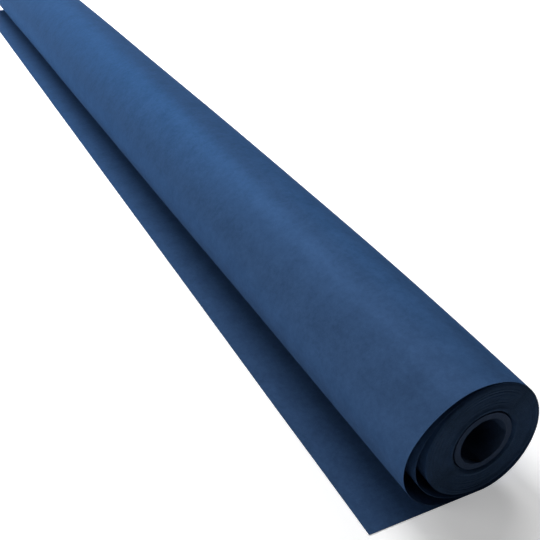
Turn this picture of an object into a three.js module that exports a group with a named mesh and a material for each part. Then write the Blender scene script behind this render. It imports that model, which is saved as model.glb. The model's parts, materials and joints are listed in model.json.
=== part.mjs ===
// Roll of studio background paper lying on a flat surface, with its free end laid out.
// Millimetres, +Z up. X runs along the roll and the free edge lies towards -Y.
// One long sheet of paper leaves the laid part, passes under the roll, climbs its +Y side,
// goes over the top and winds inwards round a spiral-wound board core.
import * as THREE from 'three';

// Driving dimensions.
const sheetWidth = 1350;
const paperThickness = 0.2;
const workingGap = 0.3;
const coreHeight = 41;
const coreRecess = 0.3;

// The core's wall, from the bore outwards.
const coreInnerRadius = 16.2;
const linerThickness = 0.4;
const boardThickness = 2.6;
const wrapThickness = 0.4;

// The three short tapes that hold the first edge of the sheet to the core.
const tapeThickness = 0.2;
const tapeWidth = 48;
const tapeAngle = 70;
const tapeStations = { start_tape_left: -560, start_tape_middle: 0, start_tape_right: 560 };

// The laid end of the sheet: its free edge runs slightly askew to the roll.
const freeEdgeAtRightEnd = 74.4;
const freeEdgeAtLeftEnd = 71.4;
const laidPastAxis = 8;

// Outside radius of the two loose turns about the core axis, by angle from +Y towards +Z.
// Each list is [degrees, millimetres], from where the turn starts to where it ends.
const outerTurnRadii = [
  [-78, 40.8], [-45, 40.5], [0, 40.5], [45, 41.0], [90, 41.8], [115, 44.0], [135, 46.2],
  [152, 49.2], [170, 52.8], [184, 54.3], [200, 54.0], [216, 52.2], [231, 49.6], [250, 45.0], [268, 41.0],
];
const innerTurnRadii = [
  [-88, 40.4], [-60, 40.15], [-20, 40.0], [45, 40.2], [90, 40.8], [120, 41.9], [140, 43.6],
  [160, 45.6], [180, 47.0], [198, 46.4], [215, 44.6], [235, 42.0], [255, 40.2], [268, 39.9],
];

// The outer turn stands off more and more towards the left end, over its top and +Y side.
const swellReach = 8.2;
const swellLength = 185;
const swellCentre = 55;
const swellHalfAngle = 110;
const outerTurnRecess = 2;

// The roll axis sits this far towards +Y, so that the whole object is centred on the origin.
const axisOffset = 14.6;

// How finely curved faces are divided.
const ringDivisions = 36;
const turnDivisions = 72;
const swellSteps = 12;

const radians = THREE.MathUtils.degToRad;
const boardInner = coreInnerRadius + linerThickness + workingGap;
const wrapInner = boardInner + boardThickness + workingGap;
const coreOuterRadius = wrapInner + wrapThickness;
const tapeInner = coreOuterRadius + workingGap;
const packInner = tapeInner + tapeThickness + workingGap;
const layerPitch = paperThickness + workingGap;
const packOuter = coreHeight - 3 * layerPitch;

const paper = { color: '#3a608f', roughness: 0.92, metalness: 0 };
const board = { color: '#2c3c55', roughness: 0.95, metalness: 0 };
const tape = { color: '#8d8468', roughness: 0.75, metalness: 0 };

function named(name, geometry, finish) {
  const mesh = new THREE.Mesh(geometry, new THREE.MeshStandardMaterial(finish));
  mesh.name = name;
  return mesh;
}

// Extrudes a section drawn in the Y-Z plane along X, centred on the middle of the roll.
function alongRoll(section, length, steps = 1) {
  const settings = { depth: length, steps, bevelEnabled: false, curveSegments: ringDivisions };
  const geometry = new THREE.ExtrudeGeometry(section, settings);
  geometry.translate(0, 0, -length / 2);
  geometry.rotateY(Math.PI / 2);
  geometry.rotateX(Math.PI / 2);
  return geometry;
}

function tube(name, innerRadius, outerRadius, length, finish) {
  const section = new THREE.Shape().absarc(0, 0, outerRadius, 0, 2 * Math.PI, false);
  section.holes.push(new THREE.Path().absarc(0, 0, innerRadius, 0, 2 * Math.PI, true));
  return named(name, alongRoll(section, length), finish);
}

function startTape(name, station) {
  const end = radians(tapeAngle);
  const section = new THREE.Shape();
  section.absarc(0, 0, tapeInner + tapeThickness, 0, end, false);
  section.absarc(0, 0, tapeInner, end, 0, true);
  const mesh = named(name, alongRoll(section, tapeWidth), tape);
  mesh.position.x = station;
  return mesh;
}

// A loose turn's wall: out along its outer face and back along its inner face.
// Where its own shape would carry it lower, it lies on the laid sheet with the working gap below.
function turnSection(radii) {
  const curve = new THREE.SplineCurve(radii.map(([angle, radius]) => new THREE.Vector2(angle, radius)));
  const face = (depth) => curve.getSpacedPoints(turnDivisions).map(({ x: angle, y: radius }) => {
    const direction = new THREE.Vector2(Math.cos(radians(angle)), Math.sin(radians(angle)));
    const reach = (coreHeight - layerPitch) / Math.max(-direction.y, 0.01);
    return direction.multiplyScalar(Math.min(radius, reach) - depth);
  });
  return new THREE.Shape([...face(0), ...face(paperThickness).reverse()]);
}

// Pushes a wall outwards about the core axis, more towards the left end and over the top.
function swell(geometry) {
  const points = geometry.attributes.position;
  const point = new THREE.Vector3();
  for (let i = 0; i < points.count; i += 1) {
    point.fromBufferAttribute(points, i);
    const fromRightEnd = sheetWidth / 2 - point.x;
    const amount = swellReach * (1 - Math.exp(-Math.max(fromRightEnd, 0) / swellLength));
    const angle = THREE.MathUtils.radToDeg(Math.atan2(point.z, point.y));
    const away = Math.min(Math.abs(angle - swellCentre) / swellHalfAngle, 1);
    const share = Math.cos((away * Math.PI) / 2) ** 2;
    const radius = Math.hypot(point.y, point.z);
    const scale = 1 + (amount * share) / radius;
    points.setXYZ(i, point.x, point.y * scale, point.z * scale);
  }
  return geometry;
}

// The part of the sheet that lies flat, from its free edge to just past the line under the axis.
function laidSheet() {
  const half = sheetWidth / 2;
  const outline = new THREE.Shape();
  outline.moveTo(-half, -freeEdgeAtLeftEnd);
  outline.lineTo(half, -freeEdgeAtRightEnd);
  outline.lineTo(half, laidPastAxis);
  outline.lineTo(-half, laidPastAxis);
  outline.closePath();
  const geometry = new THREE.ExtrudeGeometry(outline, { depth: paperThickness, bevelEnabled: false });
  geometry.translate(0, 0, -coreHeight);
  return named('laid_sheet', geometry, paper);
}

const coreLength = sheetWidth - 2 * coreRecess;
const outerTurn = alongRoll(turnSection(outerTurnRadii), sheetWidth - 2 * outerTurnRecess, swellSteps);
const innerTurn = alongRoll(turnSection(innerTurnRadii), sheetWidth);

const roll = new THREE.Group();
roll.add(tube('core_inner_liner', coreInnerRadius, coreInnerRadius + linerThickness, coreLength, board));
roll.add(tube('core_board_plies', boardInner, boardInner + boardThickness, coreLength, board));
roll.add(tube('core_outer_wrap', wrapInner, coreOuterRadius, coreLength, board));
Object.entries(tapeStations).forEach(([name, station]) => roll.add(startTape(name, station)));
roll.add(tube('wound_pack', packInner, packOuter, sheetWidth, paper));
roll.add(named('inner_loose_turn', innerTurn, paper));
roll.add(named('outer_loose_turn', swell(outerTurn), paper));
roll.add(laidSheet());
roll.position.set(0, axisOffset, coreHeight);

export default roll;
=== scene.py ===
import json
import math

import bmesh
import bpy
import numpy as np
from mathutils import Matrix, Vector


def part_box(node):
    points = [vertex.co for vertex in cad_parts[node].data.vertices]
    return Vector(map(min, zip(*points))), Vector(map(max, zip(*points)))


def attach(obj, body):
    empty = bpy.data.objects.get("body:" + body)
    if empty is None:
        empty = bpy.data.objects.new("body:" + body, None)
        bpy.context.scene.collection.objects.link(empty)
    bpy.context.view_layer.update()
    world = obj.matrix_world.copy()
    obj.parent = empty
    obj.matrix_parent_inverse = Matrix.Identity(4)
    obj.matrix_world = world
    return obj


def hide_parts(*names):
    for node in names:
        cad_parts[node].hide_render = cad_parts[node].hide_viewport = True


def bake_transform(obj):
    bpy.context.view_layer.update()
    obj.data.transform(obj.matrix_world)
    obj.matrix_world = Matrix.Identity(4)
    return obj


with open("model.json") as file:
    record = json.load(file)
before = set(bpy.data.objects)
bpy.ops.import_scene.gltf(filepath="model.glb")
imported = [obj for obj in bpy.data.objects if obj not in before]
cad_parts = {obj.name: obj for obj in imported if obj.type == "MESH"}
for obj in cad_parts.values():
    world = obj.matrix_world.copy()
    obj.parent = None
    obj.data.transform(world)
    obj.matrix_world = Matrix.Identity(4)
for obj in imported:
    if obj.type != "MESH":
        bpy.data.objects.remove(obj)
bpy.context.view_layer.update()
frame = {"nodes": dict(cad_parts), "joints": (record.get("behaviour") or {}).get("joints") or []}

MM = 0.001

# The roll's axis and ends, from the frame.
spin = next(joint for joint in frame["joints"] if joint["name"] == "roll_spin")
AXIS_Y, AXIS_Z = spin["pos_m"][1:]
LEFT_END, RIGHT_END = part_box("wound_pack")[0].x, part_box("wound_pack")[1].x
CORE_LEFT, CORE_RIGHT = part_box("core_board_plies")[0].x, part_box("core_board_plies")[1].x
FREE_EDGE_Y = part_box("laid_sheet")[0].y


def outer_radius(node):
    """Outside radius of a ring about the roll's axis."""
    low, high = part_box(node)
    return (high.z - low.z) / 2


# The sheet.
PAPER_THICKNESS = 0.2 * MM
WIDTH = RIGHT_END - LEFT_END
SHEET_LENGTH = 11.0
FREE_EDGE_SKEW = 3 * MM

# Half-thickness radius of the loose turns about the axis, [degrees from +Y towards +Z, millimetres].
# The sheet leaves the floor at -90, goes once round loosely, once more less loosely, and meets the pack.
LOOSE_PATH = [
    (-90, 40.9), (-72, 41.8), (-50, 41.9), (-25, 41.1), (0, 40.6), (45, 40.5), (90, 41.6),
    (115, 43.9), (135, 46.1), (152, 49.1), (170, 52.7), (184, 54.2), (200, 53.9), (216, 52.1),
    (231, 49.5), (250, 45.0), (270, 40.7), (300, 40.2), (340, 40.1), (405, 40.15), (450, 40.7),
    (480, 41.8), (500, 43.5), (520, 45.5), (540, 46.9), (558, 46.3), (575, 44.5), (595, 42.2),
    (615, 40.6), (640, 40.2), (700, 40.05),
]
LAID_UNTIL = -60
LOOSE_UNTIL = 700

# Where the outer turn's tail comes down, it lies on the laid sheet at this height and no lower.
TAIL_FROM, TAIL_TO = 180, 290
TAIL_HEIGHT = 0.32 * MM
TAIL_EASE = 0.4 * MM

# How far each loose turn has slipped towards the left end, [degrees, millimetres].
SLIP = [(-90, 0.0), (-20, 0.3), (90, 1.1), (230, 1.1), (330, 0.6), (450, 0.5), (700, 0.1)]

# The outer turn stands off more and more towards the left end, over its top and its +Y side.
SWELL_REACH = 8.2 * MM
SWELL_LENGTH = 215 * MM
SWELL_CENTRE = 55
SWELL_HALF_ANGLE = 110

# Paper that stands clear of the roll flutters a little.
FLUTTER = 0.22 * MM
SNUG_RADIUS = 40.9 * MM
CLEAR_BY = 4 * MM

# The free edge of the laid end is cockled, and lies flat again this far in.
COCKLE = 0.35 * MM
COCKLE_REACH = 50 * MM

# The tight turns.
PACK_OUTER = 39.7 * MM
PACK_INNER = 21.1 * MM
RIDGE_RADIUS = 23.2 * MM
RINGS_RADIUS = 36 * MM

# How finely the sheet is divided.
LAID_COLUMNS = 60
FLAT_ROWS = 45
CLIMB_ROWS = 15
LOOSE_COLUMNS = 60
LOOSE_STEP = 2.5
TURN_STEPS = 96
PACK_STATIONS = [0, 0.002, 0.25, 0.75, 0.998, 1]

# The core's wall, ply by ply.
WRAP_OUTER = outer_radius("core_outer_wrap")
WRAP_INNER = WRAP_OUTER - 0.4 * MM
LINER_OUTER = outer_radius("core_inner_liner")
LINER_INNER = LINER_OUTER - 0.4 * MM
GLUE_LINE = 0.05 * MM
BOARD_PLIES = 5
GROOVE_DEPTH = 0.24 * MM
GROOVE_HALF_WIDTH = 0.06 * MM
ROUND = 128

# The liner is a ribbon in a helix. Its seam opens to a notch near the right rim.
LINER_ADVANCE = 82 * MM
NOTCH_ANGLE = math.radians(-97)
NOTCH_INSIDE_RIM = 2.4 * MM
NOTCH_HALF_ANGLE = 0.15
NOTCH_GAPE = 2.2 * MM
SEAM_GAP = 0.5 * MM

PAPER_COLOUR = (0.0310, 0.0660, 0.144)
# The cut edges are painted darker than the face of the paper. This is painted shade on the roll's end
# faces.
SHADED_CUT_EDGE_COLOUR = (0.0250, 0.0440, 0.0810)
BOARD_COLOUR = (0.0104, 0.0234, 0.0530)
# The board's inside shows only through the liner's seam and notch. It is painted near-black as painted
# shade in the notch.
NOTCH_SHADE_BOARD_COLOUR = (0.004, 0.008, 0.016)
TAPE_COLOUR = (0.42, 0.34, 0.19)
FLOOR_COLOUR = (0.9, 0.9, 0.9)

# Name, place, what it points at, side and watts of each softbox.
CENTRE = (0, 0, 0)
SOFTBOXES = [
    ("far_key", (-1.75, -0.05, 1.45), CENTRE, 1.0, 27),
    ("far_left", (-1.75, -0.9, 1.15), CENTRE, 1.2, 21),
    ("overhead", (-1.0, 0, 2.0), CENTRE, 1.2, 28),
    ("right", (-1.0, 1.4, 1.4), CENTRE, 1.2, 28),
    ("low_left", (-0.15, -2.1, 0.5), CENTRE, 1.2, 20),
    ("near_fill", (2.3, 0.75, 0.8), (0.6, 0, 0), 0.9, 1.5),
]
WORLD_STRENGTH = 0.025
FLOOR_SIDE = 12
FLOOR_GLOW = 0.35

CAMERA_AZIMUTH = math.radians(64.18)
CAMERA_ELEVATION = math.radians(31.18)
CAMERA_PLACE = (RIGHT_END + 0.2595, AXIS_Y - 0.2626, 0.3674)
CAMERA_LENS = 53.95
CAMERA_SENSOR = 36


# Meshes.

def smooth_through(points, at):
    """A smooth curve through (place, value) points, at the places asked for."""
    place, value = np.array(points, float).T
    slope = np.gradient(value, place)
    i = np.clip(np.searchsorted(place, at) - 1, 0, len(place) - 2)
    gap = place[i + 1] - place[i]
    t = np.clip((at - place[i]) / gap, 0, 1)
    start = (1 + 2 * t) * (1 - t) ** 2 * value[i] + t * (1 - t) ** 2 * gap * slope[i]
    end = t * t * (3 - 2 * t) * value[i + 1] + t * t * (t - 1) * gap * slope[i + 1]
    return start + end


def round_axis(x, radius, angle):
    """Points about the roll's axis. The angle is in radians from +Y towards +Z."""
    y = AXIS_Y + radius * np.cos(angle)
    z = AXIS_Z + radius * np.sin(angle)
    return np.stack(np.broadcast_arrays(x, y, z), -1)


def mesh_piece(name, vertices, faces, second_material):
    """A closed mesh. The faces marked in second_material take the piece's second material."""
    mesh = bpy.data.meshes.new(name)
    mesh.from_pydata([tuple(v) for v in vertices], [], [tuple(f) for f in faces])
    mesh.polygons.foreach_set("material_index", second_material.astype(np.int32))
    piece = bpy.data.objects.new(name, mesh)
    bpy.context.scene.collection.objects.link(piece)
    bm = bmesh.new()
    bm.from_mesh(mesh)
    bmesh.ops.recalc_face_normals(bm, faces=bm.faces)
    bm.to_mesh(mesh)
    bm.free()
    mesh.shade_smooth()
    mesh.set_sharp_from_angle(angle=math.radians(35))
    return piece


def sheet_piece(name, points, thickness=PAPER_THICKNESS):
    """A thin closed mesh, half its thickness to either side of a grid of points.

    The narrow walls round its rim take the piece's second material.
    """
    normal = np.cross(np.gradient(points, axis=0), np.gradient(points, axis=1))
    normal /= np.linalg.norm(normal, axis=-1, keepdims=True)
    front = (points + normal * thickness / 2).reshape(-1, 3)
    back = (points - normal * thickness / 2).reshape(-1, 3)
    behind = len(front)
    index = np.arange(behind).reshape(points.shape[:2])
    corners = [index[:-1, :-1], index[1:, :-1], index[1:, 1:], index[:-1, 1:]]
    front_faces = np.stack(corners, -1).reshape(-1, 4)
    back_faces = front_faces[:, ::-1] + behind
    rim = np.concatenate([index[:, 0], index[-1, 1:], index[-2::-1, -1], index[0, -2:0:-1]])
    ahead = np.roll(rim, -1)
    walls = np.stack([rim, ahead, ahead + behind, rim + behind], -1)[:, ::-1]
    faces = np.concatenate([front_faces, back_faces, walls])
    is_wall = np.arange(len(faces)) >= len(faces) - len(walls)
    return mesh_piece(name, np.concatenate([front, back]), faces, is_wall)


def turned_piece(name, profile):
    """A closed ring about the roll's axis, from a profile of (x, radius) points.

    The faces from the profile's last point back to its first, the inside, take the second material.
    """
    x, radius = np.array(profile).T
    angles = np.linspace(0, 2 * math.pi, ROUND, endpoint=False)[:, None]
    vertices = round_axis(x, radius, angles).reshape(-1, 3)
    count = len(profile)
    index = np.arange(ROUND * count).reshape(ROUND, count)
    ahead = np.roll(index, -1, 0)
    corners = [index, np.roll(index, -1, 1), np.roll(ahead, -1, 1), ahead]
    faces = np.stack(corners, -1).reshape(-1, 4)
    is_inside = np.tile(np.arange(count) == count - 1, ROUND)
    return mesh_piece(name, vertices, faces, is_inside)


def arc_length(points):
    """Length of a sheet along its winding, at the middle of its width."""
    middle = points[:, points.shape[1] // 2]
    return float(np.linalg.norm(np.diff(middle, axis=0), axis=1).sum())


# The sheet of paper, as three grids of points that follow each other.

def loose_point(angle, along):
    """Points on the loose sheet: degrees along its winding, and 0 (right end) to 1 (left end)."""
    radius = smooth_through(LOOSE_PATH, angle) * MM
    x = RIGHT_END - along * WIDTH - smooth_through(SLIP, angle) * MM
    away = np.minimum(np.abs(angle - SWELL_CENTRE) / SWELL_HALF_ANGLE, 1)
    stand_off = SWELL_REACH * (1 - np.exp(-along * WIDTH / SWELL_LENGTH))
    radius = radius + stand_off * np.cos(away * math.pi / 2) ** 2
    clear = np.clip((radius - SNUG_RADIUS) / CLEAR_BY, 0, 1)
    wave = np.sin(along * 9.1 + angle * 0.021) + 0.6 * np.sin(along * 23.0 - angle * 0.034 + 1.3)
    points = round_axis(x, radius + FLUTTER * clear * wave, np.radians(angle))
    z = points[..., 2]
    tail = (angle > TAIL_FROM) & (angle < TAIL_TO)
    lifted = TAIL_HEIGHT + np.logaddexp(0, (z - TAIL_HEIGHT) / TAIL_EASE) * TAIL_EASE
    points[..., 2] = np.where(tail, lifted, z)
    return points


def laid_sheet_points():
    """The laid end of the sheet, and the stretch of it that climbs onto the roll."""
    along = np.linspace(0, 1, LAID_COLUMNS + 1)
    edge_y = FREE_EDGE_Y + FREE_EDGE_SKEW * along
    y = edge_y + np.linspace(0, 1, FLAT_ROWS + 1)[:, None] * (AXIS_Y - edge_y)
    clear_of_roll = np.clip((AXIS_Y - 0.036 - y) / 0.02, 0, 1)
    near_edge = np.clip(1 - (y - edge_y) / COCKLE_REACH, 0, 1)
    waves = 0.5 + 0.5 * np.sin(along * 31 + np.sin(along * 11) * 2)
    z = PAPER_THICKNESS / 2 + COCKLE * waves * clear_of_roll * near_edge
    flat = np.stack(np.broadcast_arrays(RIGHT_END - along * WIDTH, y, z), -1)
    angles = np.linspace(-90, LAID_UNTIL, CLIMB_ROWS + 1)[1:, None]
    return np.concatenate([flat, loose_point(angles, along)])


def loose_sheet_points():
    """The two loose turns."""
    angles = np.arange(LAID_UNTIL, LOOSE_UNTIL + 1, LOOSE_STEP)[:, None]
    return loose_point(angles, np.linspace(0, 1, LOOSE_COLUMNS + 1))


def peak(radius, centre, reach):
    """1 at the centre radius, falling off smoothly to either side."""
    return np.exp(-(((radius - centre) / reach) ** 2))


def wound_sheet_points(length):
    """The tight turns: one long spiral, as many turns as the length makes.

    Its right edge is not quite level: a raised ridge and faint rings, sunk at the core and outside.
    """
    turns = length / (math.pi * (PACK_OUTER + PACK_INNER))
    wound = np.linspace(0, 1, int(turns * TURN_STEPS) + 1)[:, None]
    radius = PACK_OUTER - wound * (PACK_OUTER - PACK_INNER)
    angle = math.radians(LOOSE_UNTIL - 30) + wound * turns * 2 * math.pi
    ridge = peak(radius, RIDGE_RADIUS, 1.3 * MM)
    rings = peak(radius, RINGS_RADIUS, 2.2 * MM) * np.sin((radius / MM - 34) * 3.6)
    tucked = peak(radius, PACK_OUTER, 0.9 * MM)
    sunk = peak(radius, PACK_INNER, 0.7 * MM)
    uneven = np.sin(wound * 47) + 0.8 * np.sin(wound * 113 + 1) + 0.6 * np.sin(wound * 271 + 2)
    raised = 0.8 * ridge + 0.14 * rings - 0.7 * tucked - 1.1 * sunk - 0.2 + 0.05 * uneven
    x = RIGHT_END - np.array(PACK_STATIONS) * WIDTH + raised * MM
    return round_axis(x, radius, angle)


# The core.

def board_profile():
    """The board plies' outline: a fine groove between one ply and the next on each end face."""
    inner, outer = LINER_OUTER + GLUE_LINE, WRAP_INNER - GLUE_LINE
    right = [(CORE_RIGHT, inner)]
    for ply in range(1, BOARD_PLIES):
        radius = inner + ply * (outer - inner) / BOARD_PLIES
        right.append((CORE_RIGHT, radius - GROOVE_HALF_WIDTH))
        right.append((CORE_RIGHT - GROOVE_DEPTH, radius))
        right.append((CORE_RIGHT, radius + GROOVE_HALF_WIDTH))
    right.append((CORE_RIGHT, outer))
    left = [(CORE_LEFT + CORE_RIGHT - x, radius) for x, radius in reversed(right)]
    return right + left


def wrap_profile():
    return [
        (CORE_RIGHT, WRAP_INNER), (CORE_RIGHT, WRAP_OUTER),
        (CORE_LEFT, WRAP_OUTER), (CORE_LEFT, WRAP_INNER),
    ]


def seam_gap(past_notch):
    """Width of the gap in the liner's seam, by radians of winding past the notch."""
    return SEAM_GAP + NOTCH_GAPE * np.exp(-((past_notch / NOTCH_HALF_ANGLE) ** 2))


def trim(piece, end, outward):
    """Cuts a piece square at x = end, and closes it there."""
    bm = bmesh.new()
    bm.from_mesh(piece.data)
    everything = bm.verts[:] + bm.edges[:] + bm.faces[:]
    normal = (outward, 0, 0)
    bmesh.ops.bisect_plane(bm, geom=everything, plane_co=(end, 0, 0), plane_no=normal, clear_outer=True)
    bmesh.ops.holes_fill(bm, edges=[edge for edge in bm.edges if edge.is_boundary])
    bm.to_mesh(piece.data)
    bm.free()


def liner_ribbon():
    """The inner liner: one paper ribbon in a helix, from beyond one end of the core to the other."""
    first = (CORE_LEFT - CORE_RIGHT) / LINER_ADVANCE - 1.1
    last = 1.2
    steps = int((last - first) * ROUND)
    past_notch = np.linspace(first, last, steps + 1)[:, None] * 2 * math.pi
    seam_x = CORE_RIGHT - NOTCH_INSIDE_RIM + past_notch / (2 * math.pi) * LINER_ADVANCE
    gap_here = seam_gap(past_notch)
    gap_next = seam_gap(past_notch + 2 * math.pi)
    ribbon_width = LINER_ADVANCE - gap_here / 2 - gap_next / 2
    x = seam_x + gap_here / 2 + np.linspace(0, 1, 5) * ribbon_width
    middle_radius = (LINER_INNER + LINER_OUTER) / 2
    points = round_axis(x, middle_radius, NOTCH_ANGLE + past_notch)
    piece = sheet_piece("core_liner_ribbon", points, LINER_OUTER - LINER_INNER)
    trim(piece, CORE_RIGHT, 1)
    trim(piece, CORE_LEFT, -1)
    return piece


# Materials.

def new_material(name, roughness, specular, metallic=0.0):
    material = bpy.data.materials.new(name)
    material.use_nodes = True
    nodes, links = material.node_tree.nodes, material.node_tree.links
    shader = nodes["Principled BSDF"]
    shader.inputs["Roughness"].default_value = roughness
    shader.inputs["Specular IOR Level"].default_value = specular
    shader.inputs["Metallic"].default_value = metallic
    return material, nodes, links, shader


def stretched(nodes, links, vector, scale):
    mapping = nodes.new("ShaderNodeMapping")
    mapping.inputs["Scale"].default_value = scale
    links.new(vector, mapping.inputs["Vector"])
    return mapping.outputs["Vector"]


def noise_at(nodes, links, vector, scale, detail=2.0, roughness=0.5, distortion=0.0):
    noise = nodes.new("ShaderNodeTexNoise")
    noise.inputs["Scale"].default_value = scale
    noise.inputs["Detail"].default_value = detail
    noise.inputs["Roughness"].default_value = roughness
    noise.inputs["Distortion"].default_value = distortion
    links.new(vector, noise.inputs["Vector"])
    return noise.outputs["Fac"]


def ranged(nodes, links, value, low, high, to_low, to_high):
    """A value between low and high, moved to between to_low and to_high."""
    node = nodes.new("ShaderNodeMapRange")
    limits = {"From Min": low, "From Max": high, "To Min": to_low, "To Max": to_high}
    for socket, number in limits.items():
        node.inputs[socket].default_value = number
    links.new(value, node.inputs["Value"])
    return node.outputs["Result"]


def varied(nodes, links, noise, amount):
    """A multiplier that goes above and below 1 by the amount, with the noise."""
    return ranged(nodes, links, noise, 0.3, 0.7, 1 - amount, 1 + amount)


def combined(nodes, links, operation, first, second):
    node = nodes.new("ShaderNodeMath")
    node.operation = operation
    for socket, value in zip(node.inputs, (first, second)):
        if isinstance(value, (int, float)):
            socket.default_value = value
        else:
            links.new(value, socket)
    return node.outputs["Value"]


def coloured(nodes, links, shader, colour, tone):
    """Gives the shader a base colour multiplied by a tone."""
    node = nodes.new("ShaderNodeMix")
    node.data_type = "RGBA"
    node.blend_type = "MULTIPLY"
    node.inputs["Factor"].default_value = 1.0
    node.inputs["A"].default_value = (*colour, 1)
    grey = nodes.new("ShaderNodeCombineColor")
    for channel in ("Red", "Green", "Blue"):
        links.new(tone, grey.inputs[channel])
    links.new(grey.outputs["Color"], node.inputs["B"])
    links.new(node.outputs["Result"], shader.inputs["Base Color"])


def bumped(nodes, links, shader, height, strength, distance):
    bump = nodes.new("ShaderNodeBump")
    bump.inputs["Strength"].default_value = strength
    bump.inputs["Distance"].default_value = distance
    links.new(height, bump.inputs["Height"])
    links.new(bump.outputs["Normal"], shader.inputs["Normal"])


def paper_material(name, colour, gloss):
    """Matt paper dyed right through: cloudy formation, faint streaks along the web, fine felt grain.

    Its gloss comes from dyed fibres, so a small metallic share gives it the paper's own colour.
    """
    material, nodes, links, shader = new_material(name, 0.46, 0.0, gloss)
    shader.inputs["Specular Tint"].default_value = (0.3, 0.55, 1, 1)
    place = nodes.new("ShaderNodeTexCoord").outputs["Object"]
    along_web = stretched(nodes, links, place, (80, 26, 26))
    streaks = noise_at(nodes, links, along_web, 1, 4, 0.6)
    clouds = noise_at(nodes, links, place, 55, 4, 0.55)
    mottle = noise_at(nodes, links, place, 260, 3, 0.6)
    felt = noise_at(nodes, links, place, 900, 3, 0.6)
    grain = noise_at(nodes, links, place, 3800, 2, 0.5)
    tone = varied(nodes, links, clouds, 0.08)
    for noise, amount in ((felt, 0.08), (grain, 0.07), (streaks, 0.035), (mottle, 0.09)):
        tone = combined(nodes, links, "MULTIPLY", tone, varied(nodes, links, noise, amount))
    coloured(nodes, links, shader, colour, tone)
    links.new(ranged(nodes, links, felt, 0.3, 0.7, 0.42, 0.50), shader.inputs["Roughness"])
    felt_relief = combined(nodes, links, "MULTIPLY", felt, 0.6)
    grain_relief = combined(nodes, links, "MULTIPLY", grain, 0.4)
    relief = combined(nodes, links, "ADD", felt_relief, grain_relief)
    bumped(nodes, links, shader, relief, 0.35, 0.12 * MM)
    return material


def board_material(name, colour):
    """Dyed core board: coarse recycled fibre with lighter flecks."""
    material, nodes, links, shader = new_material(name, 0.8, 0.15)
    place = nodes.new("ShaderNodeTexCoord").outputs["Object"]
    fibre = noise_at(nodes, links, place, 420, 5, 0.65, 0.4)
    fleck = noise_at(nodes, links, place, 1700, 2, 0.5)
    flecked = ranged(nodes, links, fleck, 0.55, 0.75, 0.97, 1.3)
    tone = combined(nodes, links, "MULTIPLY", varied(nodes, links, fibre, 0.15), flecked)
    coloured(nodes, links, shader, colour, tone)
    bumped(nodes, links, shader, fibre, 0.5, 0.2 * MM)
    return material


def tape_material():
    """Creped masking tape: fine ridges across its length."""
    material, nodes, links, shader = new_material("start_tape", 0.6, 0.4)
    place = nodes.new("ShaderNodeTexCoord").outputs["Object"]
    crepe = noise_at(nodes, links, stretched(nodes, links, place, (1, 6, 6)), 300, 3, 0.6)
    tone = ranged(nodes, links, crepe, 0.3, 0.7, 0.85, 1.12)
    coloured(nodes, links, shader, TAPE_COLOUR, tone)
    bumped(nodes, links, shader, crepe, 0.6, 0.1 * MM)
    return material


def finish_with(piece, slot, *materials):
    """Gives a piece its materials. The slot is not used. With one material, all its faces take that."""
    marks = np.zeros(len(piece.data.polygons), np.int32)
    piece.data.polygons.foreach_get("material_index", marks)
    piece.data.materials.clear()
    for material in materials:
        piece.data.materials.append(material)
    piece.data.polygons.foreach_set("material_index", marks % len(materials))


# Floor, light and camera.

def stage_floor():
    """A pale floor. Its faint glow keeps the roll's shadow on it light."""
    bpy.ops.mesh.primitive_plane_add(size=FLOOR_SIDE, location=(0, 0, 0))
    floor = bpy.context.object
    floor.name = "studio_floor"
    material, _, _, shader = new_material("studio_floor", 0.9, 0.2)
    shader.inputs["Base Color"].default_value = (*FLOOR_COLOUR, 1)
    shader.inputs["Emission Color"].default_value = (1, 1, 1, 1)
    shader.inputs["Emission Strength"].default_value = FLOOR_GLOW
    floor.data.materials.append(material)


def softbox(name, place, target, side, power):
    light = bpy.data.lights.new(name, "AREA")
    light.shape = "RECTANGLE"
    light.size, light.size_y = side, side
    light.energy = power
    lamp = bpy.data.objects.new(name, light)
    lamp.location = place
    towards = Vector(target) - Vector(place)
    lamp.rotation_euler = towards.to_track_quat("-Z", "Y").to_euler()
    bpy.context.scene.collection.objects.link(lamp)


def world_light():
    world = bpy.data.worlds.new("studio")
    world.use_nodes = True
    background = world.node_tree.nodes["Background"]
    background.inputs["Color"].default_value = (1, 1, 1, 1)
    background.inputs["Strength"].default_value = WORLD_STRENGTH
    bpy.context.scene.world = world


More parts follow.
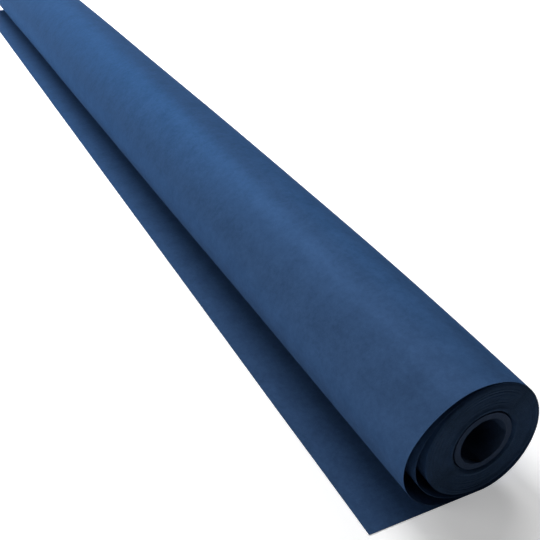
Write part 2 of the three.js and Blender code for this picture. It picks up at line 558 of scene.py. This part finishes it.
def camera():
    """Above and beyond the right end, looking back along the roll."""
    data = bpy.data.cameras.new("camera")
    data.sensor_width = CAMERA_SENSOR
    data.lens = CAMERA_LENS
    data.clip_start = 0.01
    eye = bpy.data.objects.new("camera", data)
    eye.location = CAMERA_PLACE
    level = math.cos(CAMERA_ELEVATION)
    view = Vector((
        -math.sin(CAMERA_AZIMUTH) * level,
        math.cos(CAMERA_AZIMUTH) * level,
        -math.sin(CAMERA_ELEVATION),
    ))
    eye.rotation_euler = view.to_track_quat("-Z", "Y").to_euler()
    bpy.context.scene.collection.objects.link(eye)
    bpy.context.scene.camera = eye


# The pieces.
laid_points = laid_sheet_points()
laid_piece = sheet_piece("laid_paper", laid_points)
laid_length = arc_length(laid_points)

loose_points = loose_sheet_points()
loose_piece = sheet_piece("loose_paper_turns", loose_points)
loose_length = arc_length(loose_points)

pack_length = SHEET_LENGTH - laid_length - loose_length
pack_piece = sheet_piece("wound_paper", wound_sheet_points(pack_length))

board_piece = turned_piece("core_board", board_profile())
wrap_piece = turned_piece("core_wrap", wrap_profile())
liner_piece = liner_ribbon()

# Their finishes.
navy_paper = paper_material("navy_paper", PAPER_COLOUR, 0.16)
# Cut edges take a darker colour: painted shade on the end faces.
shaded_cut_edge = paper_material("shaded_cut_edge", SHADED_CUT_EDGE_COLOUR, 0.0)
core_board = board_material("core_board", BOARD_COLOUR)
# Inside faces of the board: painted shade, dark in the liner's notch.
notch_shade_board = board_material("notch_shade_board", NOTCH_SHADE_BOARD_COLOUR)
start_tape = tape_material()

for piece in (laid_piece, loose_piece, pack_piece):
    finish_with(piece, "paper", navy_paper, shaded_cut_edge)
finish_with(board_piece, "core_board", core_board, notch_shade_board)
for piece in (wrap_piece, liner_piece):
    finish_with(piece, "core_board", core_board)
for name, node in frame["nodes"].items():
    if name.startswith("start_tape"):
        finish_with(node, "start_tape", start_tape)

stage_floor()
world_light()
for name, place, target, side, power in SOFTBOXES:
    softbox(name, place, target, side, power)
camera()
bpy.context.scene.view_settings.view_transform = "Standard"

# How the pieces move.
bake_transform(laid_piece)
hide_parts("laid_sheet")
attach(loose_piece, "loose_turns")
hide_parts("outer_loose_turn", "inner_loose_turn")
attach(pack_piece, "roll")
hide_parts("wound_pack")
core_nodes = {
    "core_inner_liner": liner_piece,
    "core_board_plies": board_piece,
    "core_outer_wrap": wrap_piece,
}
for node, piece in core_nodes.items():
    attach(piece, "roll")
    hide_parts(node)
